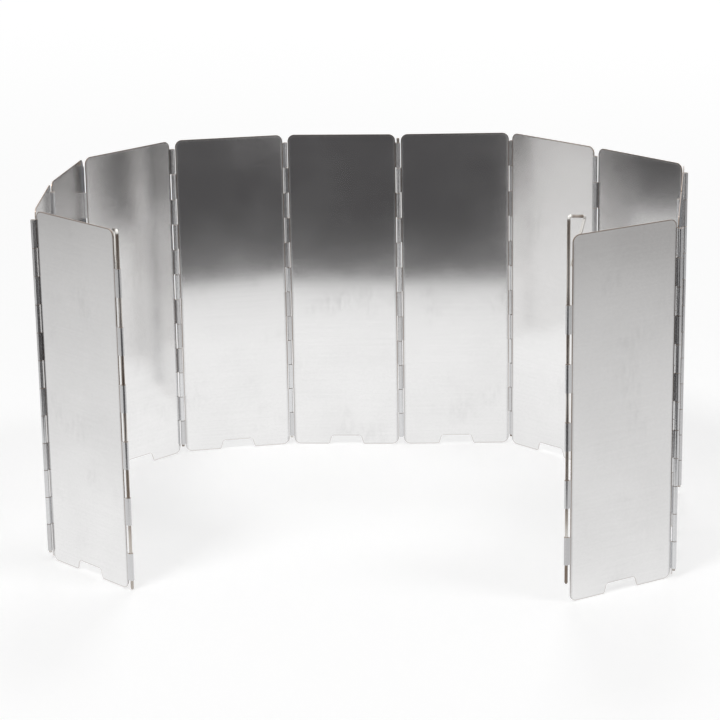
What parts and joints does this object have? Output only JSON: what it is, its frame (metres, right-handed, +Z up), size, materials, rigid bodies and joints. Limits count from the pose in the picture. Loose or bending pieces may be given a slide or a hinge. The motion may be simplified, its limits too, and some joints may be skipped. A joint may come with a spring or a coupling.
{
  "type": "folding windscreen",
  "caption": "Folding camp stove windscreen of hinged aluminium panels with rolled knuckles, wire hinge pins, draught notches and a pull-up ground stake at each end.",
  "frame": {"origin": "on the ground, at the middle of the standing screen's overall box", "axes": "+X to the right and +Y away from the open side, as seen by the cook; +Z up"},
  "size_m": [0.44, 0.3388, 0.2527],
  "materials": {
    "sheet": "satin rolled sheet",
    "wire": "bright drawn wire"
  },
  "bodies": {
    "panel_6": {"panel_6": "sheet", "hinge_pin_5": "wire", "hinge_pin_6": "wire"},
    "panel_7": {"panel_7": "sheet", "hinge_pin_7": "wire"},
    "panel_8": {"panel_8": "sheet", "hinge_pin_8": "wire"},
    "panel_9": {"panel_9": "sheet", "hinge_pin_9": "wire"},
    "panel_10": {"panel_10": "sheet", "hinge_pin_10": "wire"},
    "panel_11": {"panel_11": "sheet", "hinge_pin_11": "wire"},
    "panel_12": {"panel_12": "sheet"},
    "panel_5": {"panel_5": "sheet", "hinge_pin_4": "wire"},
    "panel_4": {"panel_4": "sheet", "hinge_pin_3": "wire"},
    "panel_3": {"panel_3": "sheet", "hinge_pin_2": "wire"},
    "panel_2": {"panel_2": "sheet", "hinge_pin_1": "wire"},
    "panel_1": {"panel_1": "sheet"},
    "left_stake": {"left_stake": "wire"},
    "right_stake": {"right_stake": "wire"}
  },
  "joints": [
    {"name": "hinge_6", "type": "hinge", "parent": "panel_6", "child": "panel_7", "pos_m": [0.0208, 0.16072, 0], "axis": [0, 0, -1], "range_deg": [0, 183]},
    {"name": "hinge_7", "type": "hinge", "parent": "panel_7", "child": "panel_8", "pos_m": [0.1048, 0.16342, 0], "axis": [0, 0, 1], "range_deg": [0, 226]},
    {"name": "hinge_8", "type": "hinge", "parent": "panel_8", "child": "panel_9", "pos_m": [0.16121, 0.10112, 0], "axis": [0, 0, -1], "range_deg": [0, 177]},
    {"name": "hinge_9", "type": "hinge", "parent": "panel_9", "child": "panel_10", "pos_m": [0.21835, 0.0395, 0], "axis": [0, 0, 1], "range_deg": [0, 229]},
    {"name": "hinge_10", "type": "hinge", "parent": "panel_10", "child": "panel_11", "pos_m": [0.20399, -0.04331, 0], "axis": [0, 0, -1], "range_deg": [0, 180]},
    {"name": "hinge_11", "type": "hinge", "parent": "panel_11", "child": "panel_12", "pos_m": [0.19497, -0.12687, 0], "axis": [0, 0, 1], "range_deg": [0, 231]},
    {"name": "hinge_5", "type": "hinge", "parent": "panel_6", "child": "panel_5", "pos_m": [-0.06295, 0.16781, 0], "axis": [0, 0, -1], "range_deg": [0, 194]},
    {"name": "hinge_4", "type": "hinge", "parent": "panel_5", "child": "panel_4", "pos_m": [-0.14489, 0.14914, 0], "axis": [0, 0, 1], "range_deg": [0, 145]},
    {"name": "hinge_3", "type": "hinge", "parent": "panel_4", "child": "panel_3", "pos_m": [-0.20518, 0.09059, 0], "axis": [0, 0, -1], "range_deg": [0, 215]},
    {"name": "hinge_2", "type": "hinge", "parent": "panel_3", "child": "panel_2", "pos_m": [-0.21565, 0.0072, 0], "axis": [0, 0, 1], "range_deg": [0, 171]},
    {"name": "hinge_1", "type": "hinge", "parent": "panel_2", "child": "panel_1", "pos_m": [-0.21835, -0.0768, 0], "axis": [0, 0, -1], "range_deg": [0, 224]},
    {"name": "left_stake_slide", "type": "slide", "parent": "panel_1", "child": "left_stake", "axis": [0, 0, 1], "range_m": [-0.021, 0.19]},
    {"name": "right_stake_slide", "type": "slide", "parent": "panel_12", "child": "right_stake", "axis": [0, 0, 1], "range_m": [-0.0525, 0.1585]}
  ],
  "couplings": [
    {"joint": "hinge_7", "follows": "hinge_6", "ratio": 1.235},
    {"joint": "hinge_9", "follows": "hinge_8", "ratio": 1.2938},
    {"joint": "hinge_11", "follows": "hinge_10", "ratio": 1.2833},
    {"joint": "hinge_3", "follows": "hinge_4", "ratio": 1.4828},
    {"joint": "hinge_1", "follows": "hinge_2", "ratio": 1.3099}
  ]
}
